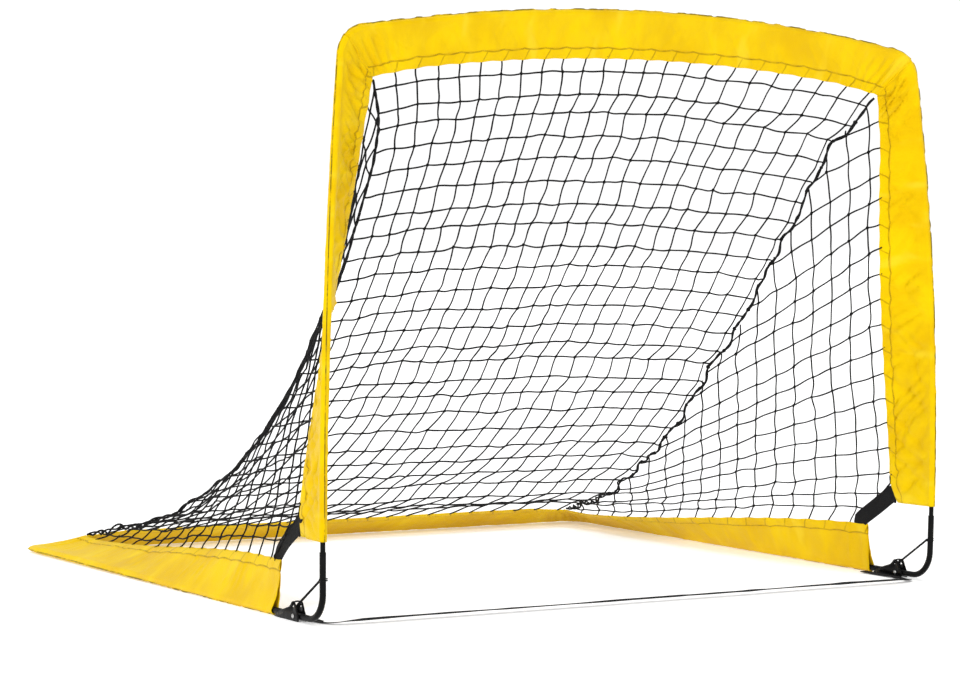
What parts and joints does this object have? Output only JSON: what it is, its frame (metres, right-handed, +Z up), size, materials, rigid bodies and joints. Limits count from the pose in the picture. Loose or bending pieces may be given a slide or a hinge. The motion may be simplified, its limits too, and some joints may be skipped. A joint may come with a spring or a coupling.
{
  "type": "pop up goal",
  "caption": "Folding lawn-game goal: a bowed rod arch hinged to a ground frame, in bright fabric sleeves, with a sagging square-mesh net behind.",
  "frame": {"origin": "on the ground under the middle of the whole outer box", "axes": "+X across the mouth to the right as seen from the shooter, +Y back into the net, +Z up"},
  "size_m": [1.2306, 1.1394, 0.9723],
  "materials": {
    "sleeve_fabric": "woven polyester, slightly glossy",
    "fibre_rod": "satin black fibreglass",
    "coated_tube": "semi-gloss black powder coat",
    "rivet_steel": "zinc plated",
    "net_cord": "knotted twine",
    "webbing": "flat woven webbing",
    "stay_line": "matte line"
  },
  "bodies": {
    "base": {"side_sleeve_left": "sleeve_fabric", "side_rod_front_left": "fibre_rod", "side_rod_rear_left": "fibre_rod", "back_rod_left": "fibre_rod", "rear_elbow_left": "coated_tube", "side_ferrule_left": "coated_tube", "base_socket_left": "coated_tube", "hinge_bracket_left": "coated_tube", "pivot_rivet_left": "rivet_steel", "side_net_left": "net_cord", "seam_cord_left": "net_cord", "corner_strap_left": "webbing", "foot_tab_left": "webbing", "stay_cord_left": "stay_line", "side_sleeve_right": "sleeve_fabric", "side_rod_front_right": "fibre_rod", "side_rod_rear_right": "fibre_rod", "back_rod_right": "fibre_rod", "rear_elbow_right": "coated_tube", "side_ferrule_right": "coated_tube", "base_socket_right": "coated_tube", "hinge_bracket_right": "coated_tube", "pivot_rivet_right": "rivet_steel", "side_net_right": "net_cord", "seam_cord_right": "net_cord", "corner_strap_right": "webbing", "foot_tab_right": "webbing", "stay_cord_right": "stay_line", "back_sleeve": "sleeve_fabric", "back_ferrule": "coated_tube", "back_net": "net_cord", "ground_strap": "webbing"},
    "arch": {"foot_elbow_left": "coated_tube", "foot_elbow_right": "coated_tube", "post_rod_lower_left": "fibre_rod", "post_rod_lower_right": "fibre_rod", "post_ferrule_left": "coated_tube", "post_ferrule_right": "coated_tube", "post_rod_upper_left": "fibre_rod", "post_rod_upper_right": "fibre_rod", "top_elbow_left": "coated_tube", "top_elbow_right": "coated_tube", "crossbar_rod_left": "fibre_rod", "crossbar_rod_right": "fibre_rod", "post_sleeve_left": "sleeve_fabric", "post_sleeve_right": "sleeve_fabric", "crossbar_ferrule": "coated_tube", "crossbar_sleeve": "sleeve_fabric"}
  },
  "joints": [
    {"name": "arch_fold", "type": "hinge", "parent": "base", "child": "arch", "pos_m": [0, -0.47735, 0.0077], "axis": [-1, 0, 0], "range_deg": [0, 85], "deforming": ["back_net", "side_net_left", "side_net_right", "seam_cord_left", "seam_cord_right", "corner_strap_left", "corner_strap_right", "stay_cord_left", "stay_cord_right", "side_sleeve_left", "side_sleeve_right"]}
  ]
}
